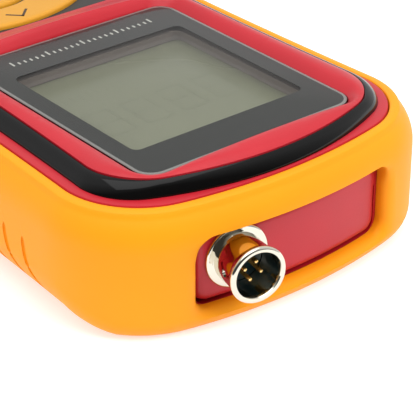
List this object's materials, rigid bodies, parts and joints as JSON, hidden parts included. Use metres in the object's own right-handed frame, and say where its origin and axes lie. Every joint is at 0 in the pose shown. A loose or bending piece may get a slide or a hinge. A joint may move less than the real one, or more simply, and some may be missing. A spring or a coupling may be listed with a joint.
{
  "type": "grain moisture meter",
  "caption": "Handheld meter in a stretched-on rubber boot, with a display lens, a round key cluster, a pin socket for a probe in its end, and a hinged battery door.",
  "frame": {"origin": "centre of the bounding box in plan, on the plane the boot's underside rests on", "axes": "+Z out of the display, +Y along the meter towards the probe socket, +X to the right of a reader with the socket at the top"},
  "size_m": [0.0816, 0.1809, 0.0304],
  "materials": {
    "boot_rubber": "satin moulded rubber",
    "case_plastic": "semi-gloss moulded ABS",
    "seal_rubber": "matte",
    "black_gloss": "high gloss",
    "clear_plastic": "polished acrylic",
    "print_black": "screen print",
    "dark_plastic": "fine texture",
    "key_plastic": "satin",
    "silicone": "matte translucent",
    "display_glass": "polished",
    "display_film": "satin film",
    "white_plastic": "diffusing",
    "board_green": "solder mask over glass fibre laminate",
    "chip_ceramic": "matte",
    "steel": "nickel plated",
    "brass": "knurled",
    "chrome": "bright nickel plate",
    "insert_plastic": "moulded",
    "gold": "gold plated",
    "wire_cover": "flexible cover",
    "jacket": "printed film, no marks",
    "label": "blank foil"
  },
  "bodies": {
    "meter": {"boot": "boot_rubber", "front_shell": "case_plastic", "rear_shell": "case_plastic", "case_seal": "seal_rubber", "trim_ring": "black_gloss", "lens": "clear_plastic", "lens_print": "print_black", "lens_tape": "seal_rubber", "keypad_plate": "dark_plastic", "key_mat": "silicone", "key_pills": "seal_rubber", "lcd_frame": "dark_plastic", "lcd_glass": "display_glass", "lcd_polarizer": "display_film", "lcd_backlight": "white_plastic", "backlight_leds": "white_plastic", "zebra_strips": "silicone", "main_board": "board_green", "controller_chip": "dark_plastic", "small_chips": "dark_plastic", "chip_parts": "chip_ceramic", "crystal": "steel", "capacitors": "dark_plastic", "buzzer": "dark_plastic", "board_header": "white_plastic", "board_screws": "steel", "shell_screws": "steel", "shell_inserts": "brass", "socket_shell": "chrome", "socket_insert": "insert_plastic", "socket_pins": "gold", "socket_washer": "steel", "socket_nut": "chrome", "socket_wires": "wire_cover", "cell_jackets": "jacket", "cell_cans": "steel", "contact_springs": "steel", "contact_plates": "steel", "battery_wires": "wire_cover", "rear_label": "label"},
    "top_key": {"key_top": "key_plastic"},
    "bottom_key": {"key_bottom": "key_plastic"},
    "left_key": {"key_left": "key_plastic"},
    "right_key": {"key_right": "key_plastic"},
    "middle_key": {"key_middle": "key_plastic"},
    "door": {"battery_door": "case_plastic", "door_foam": "seal_rubber"}
  },
  "joints": [
    {"name": "top_key_press", "type": "slide", "parent": "meter", "child": "top_key", "axis": [0, 0, -1], "range_m": [0, 0.0008], "stiffness_N_per_m": 1500, "springref_m": -0.0002},
    {"name": "bottom_key_press", "type": "slide", "parent": "meter", "child": "bottom_key", "axis": [0, 0, -1], "range_m": [0, 0.0008], "stiffness_N_per_m": 1500, "springref_m": -0.0002},
    {"name": "left_key_press", "type": "slide", "parent": "meter", "child": "left_key", "axis": [0, 0, -1], "range_m": [0, 0.0008], "stiffness_N_per_m": 1500, "springref_m": -0.0002},
    {"name": "right_key_press", "type": "slide", "parent": "meter", "child": "right_key", "axis": [0, 0, -1], "range_m": [0, 0.0008], "stiffness_N_per_m": 1500, "springref_m": -0.0002},
    {"name": "middle_key_press", "type": "slide", "parent": "meter", "child": "middle_key", "axis": [0, 0, -1], "range_m": [0, 0.0008], "stiffness_N_per_m": 1500, "springref_m": -0.0002},
    {"name": "door_swing", "type": "hinge", "parent": "meter", "child": "door", "pos_m": [0, -0.0777, 0.0047], "axis": [-1, 0, 0], "range_deg": [0, 70]}
  ]
}
